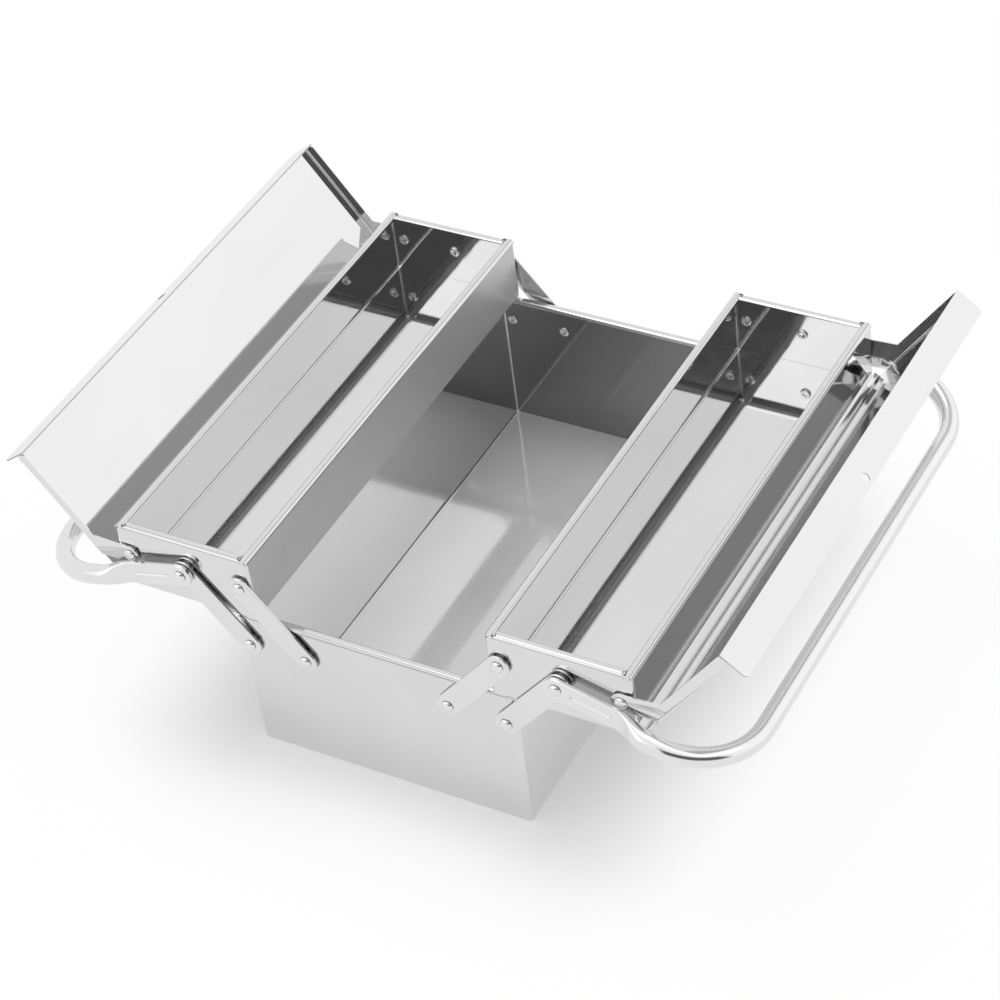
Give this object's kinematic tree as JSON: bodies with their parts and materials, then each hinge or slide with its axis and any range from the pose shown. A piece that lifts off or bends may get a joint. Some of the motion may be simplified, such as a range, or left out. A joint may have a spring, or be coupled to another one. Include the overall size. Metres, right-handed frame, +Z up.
{
  "type": "cantilever tool box",
  "caption": "Oblong box of bright folded sheet steel whose upper trays swing apart on side links, each with a hinged lid and a bail handle that meet over the middle when shut.",
  "frame": {"origin": "centre of the flat underside of the base box", "axes": "+X across the box towards the right tray, along the 200 mm front end, +Y along the box from the pictured front end to the rear end, +Z up"},
  "size_m": [0.5212, 0.3896, 0.2016],
  "materials": {
    "base_steel": "mirror-bright rolled sheet",
    "tray_steel": "mirror-bright rolled sheet",
    "lid_steel": "mirror-bright rolled sheet",
    "link_steel": "satin strip",
    "handle_steel": "bright satin tube",
    "rivet_steel": "bright formed head",
    "washer_steel": "plain turned ring"
  },
  "bodies": {
    "base": {"base_body": "base_steel", "base_front_end": "base_steel", "base_rear_end": "base_steel", "base_washers": "washer_steel", "base_rivets": "rivet_steel"},
    "right_outer_links": {"right_front_outer_link": "link_steel", "right_rear_outer_link": "link_steel"},
    "right_inner_links": {"right_front_inner_link": "link_steel", "right_rear_inner_link": "link_steel"},
    "right_tray": {"right_tray_body": "tray_steel", "right_tray_front_end": "tray_steel", "right_tray_rear_end": "tray_steel", "right_inner_link_rivets": "rivet_steel", "right_handle_rivets": "rivet_steel", "right_lid_rivets": "rivet_steel", "right_link_washers": "washer_steel", "right_handle_washers": "washer_steel", "right_lid_washers": "washer_steel"},
    "right_lid": {"right_lid_panel": "lid_steel", "right_lid_seam_strip": "lid_steel"},
    "right_handle_bail": {"right_handle": "handle_steel"},
    "left_outer_links": {"left_front_outer_link": "link_steel", "left_rear_outer_link": "link_steel"},
    "left_inner_links": {"left_front_inner_link": "link_steel", "left_rear_inner_link": "link_steel"},
    "left_tray": {"left_tray_body": "tray_steel", "left_tray_front_end": "tray_steel", "left_tray_rear_end": "tray_steel", "left_inner_link_rivets": "rivet_steel", "left_handle_rivets": "rivet_steel", "left_lid_rivets": "rivet_steel", "left_link_washers": "washer_steel", "left_handle_washers": "washer_steel", "left_lid_washers": "washer_steel"},
    "left_lid": {"left_lid_panel": "lid_steel", "left_lid_seam_strip": "lid_steel"},
    "left_handle_bail": {"left_handle": "handle_steel"}
  },
  "joints": [
    {"name": "right_tray_swing", "type": "hinge", "parent": "base", "child": "right_outer_links", "pos_m": [0.09287, 0, 0.0876], "axis": [0, -1, 0], "range_deg": [0, 79.73]},
    {"name": "right_tray_level", "type": "hinge", "parent": "right_outer_links", "child": "right_tray", "pos_m": [0.13387, 0, 0.1367], "axis": [0, -1, 0], "range_deg": [-79.73, 0]},
    {"name": "right_inner_link_swing", "type": "hinge", "parent": "base", "child": "right_inner_links", "pos_m": [0.05147, 0, 0.0876], "axis": [0, -1, 0], "range_deg": [0, 79.73]},
    {"name": "right_handle_hinge", "type": "hinge", "parent": "right_tray", "child": "right_handle_bail", "pos_m": [0.13387, 0, 0.1367], "axis": [0, -1, 0], "range_deg": [0, 126.75]},
    {"name": "right_lid_hinge", "type": "hinge", "parent": "right_tray", "child": "right_lid", "pos_m": [0.17527, 0, 0.1369], "axis": [0, -1, 0], "range_deg": [0, 126.8]},
    {"name": "left_tray_swing", "type": "hinge", "parent": "base", "child": "left_outer_links", "pos_m": [-0.09287, 0, 0.0876], "axis": [0, 1, 0], "range_deg": [0, 79.73]},
    {"name": "left_tray_level", "type": "hinge", "parent": "left_outer_links", "child": "left_tray", "pos_m": [-0.13387, 0, 0.1367], "axis": [0, 1, 0], "range_deg": [-79.73, 0]},
    {"name": "left_inner_link_swing", "type": "hinge", "parent": "base", "child": "left_inner_links", "pos_m": [-0.05147, 0, 0.0876], "axis": [0, 1, 0], "range_deg": [0, 79.73]},
    {"name": "left_handle_hinge", "type": "hinge", "parent": "left_tray", "child": "left_handle_bail", "pos_m": [-0.13387, 0, 0.1367], "axis": [0, 1, 0], "range_deg": [0, 126.75]},
    {"name": "left_lid_hinge", "type": "hinge", "parent": "left_tray", "child": "left_lid", "pos_m": [-0.17527, 0, 0.1369], "axis": [0, 1, 0], "range_deg": [0, 126.8]}
  ],
  "couplings": [
    {"joint": "right_tray_level", "follows": "right_tray_swing", "ratio": -1},
    {"joint": "right_inner_link_swing", "follows": "right_tray_swing", "ratio": 1},
    {"joint": "right_lid_hinge", "follows": "right_handle_hinge", "ratio": 1.0004},
    {"joint": "left_tray_level", "follows": "left_tray_swing", "ratio": -1},
    {"joint": "left_inner_link_swing", "follows": "left_tray_swing", "ratio": 1},
    {"joint": "left_lid_hinge", "follows": "left_handle_hinge", "ratio": 1.0004}
  ]
}
